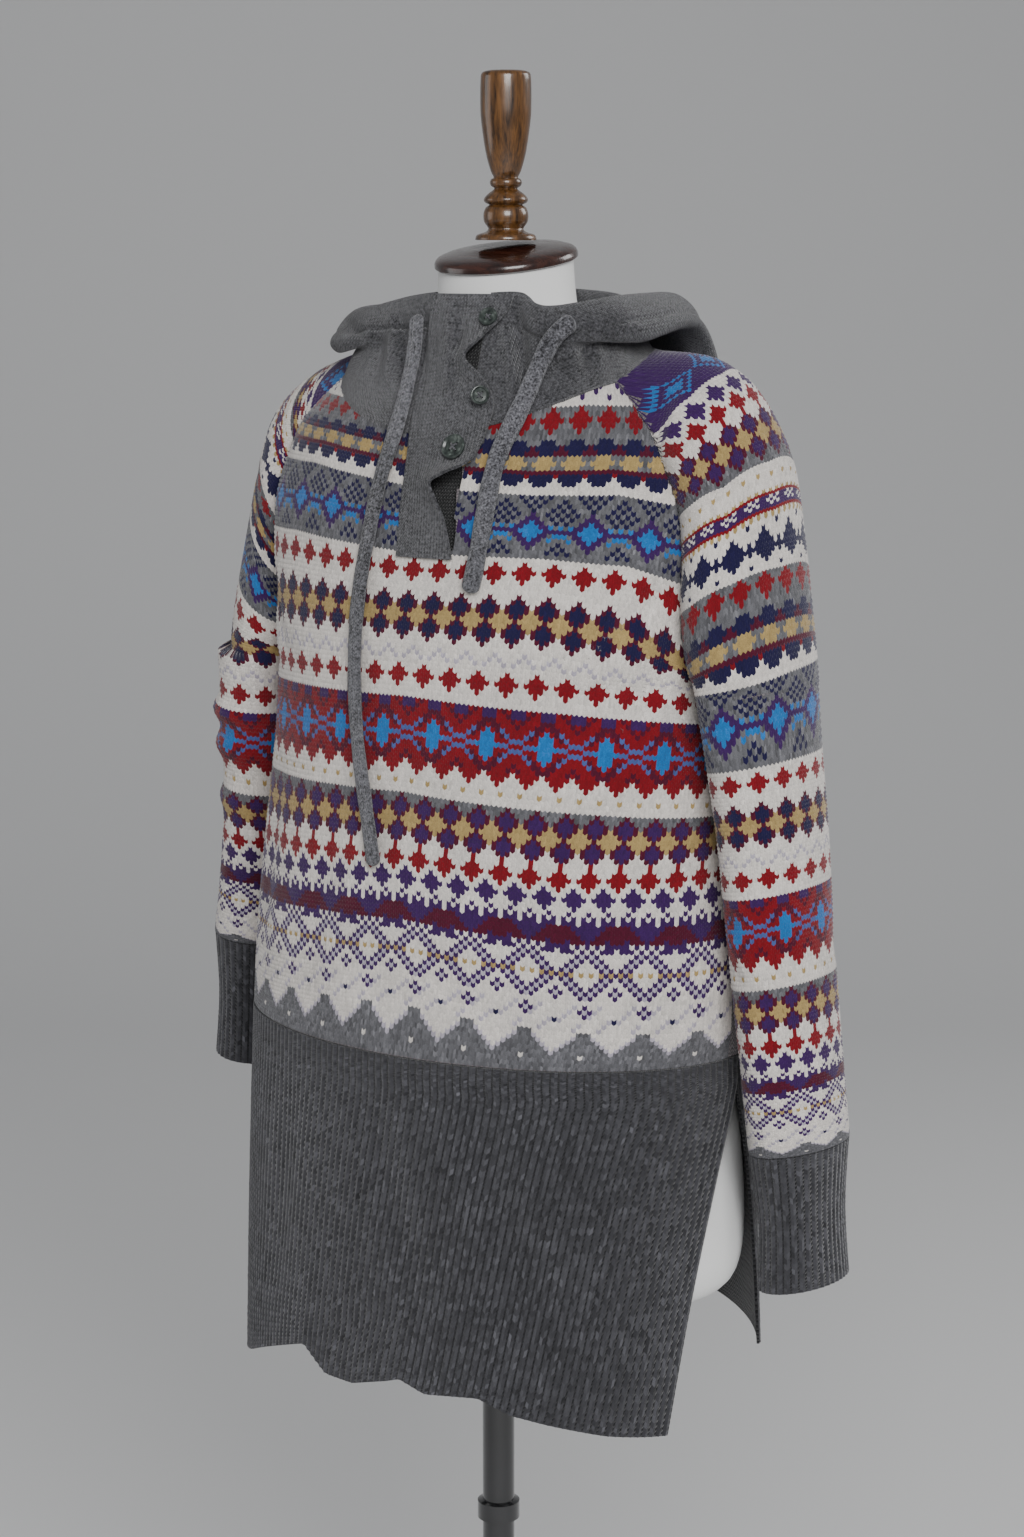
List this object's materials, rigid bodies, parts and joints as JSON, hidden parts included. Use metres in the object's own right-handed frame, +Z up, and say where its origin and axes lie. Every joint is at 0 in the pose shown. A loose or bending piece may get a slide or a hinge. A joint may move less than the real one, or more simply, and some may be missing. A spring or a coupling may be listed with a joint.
{
  "type": "knit hoodie on a dress form",
  "caption": "Long raglan knit hoodie with ribbed split hem, buttoned neck and free drawstrings, worn by a limbless dress form on a pole stand.",
  "frame": {"origin": "on the floor, at the middle of the underside of the stand's round base, under the pole", "axes": "+Z up along the pole; -Y is the front of the garment; +X is the wearer's left"},
  "size_m": [0.592, 0.36, 1.5929],
  "materials": {
    "knit": "stranded wool knit in cream with red, navy, purple and tan bands",
    "rib": "heather grey ribbed wool knit",
    "plain_knit": "heather grey plain wool knit",
    "button": "dark grey-green four-hole buttons",
    "form_cover": "smooth white jersey cover",
    "turned_wood": "brown varnished turned wood",
    "cap_wood": "dark varnished wood",
    "black_metal": "gloss black paint"
  },
  "bodies": {
    "root": {"back_body": "knit", "back_hem": "rib", "button_1": "button", "button_2": "button", "button_3": "button", "cuff_left": "rib", "cuff_right": "rib", "drawstring_left": "plain_knit", "drawstring_right": "plain_knit", "dress_form": "form_cover", "finial": "turned_wood", "front_body": "knit", "front_hem": "rib", "hood_left": "plain_knit", "hood_right": "plain_knit", "neck_cap": "cap_wood", "placket_over": "plain_knit", "placket_under": "plain_knit", "sleeve_left": "knit", "sleeve_right": "knit", "stand_base": "black_metal", "stand_pole": "black_metal"}
  },
  "joints": []
}
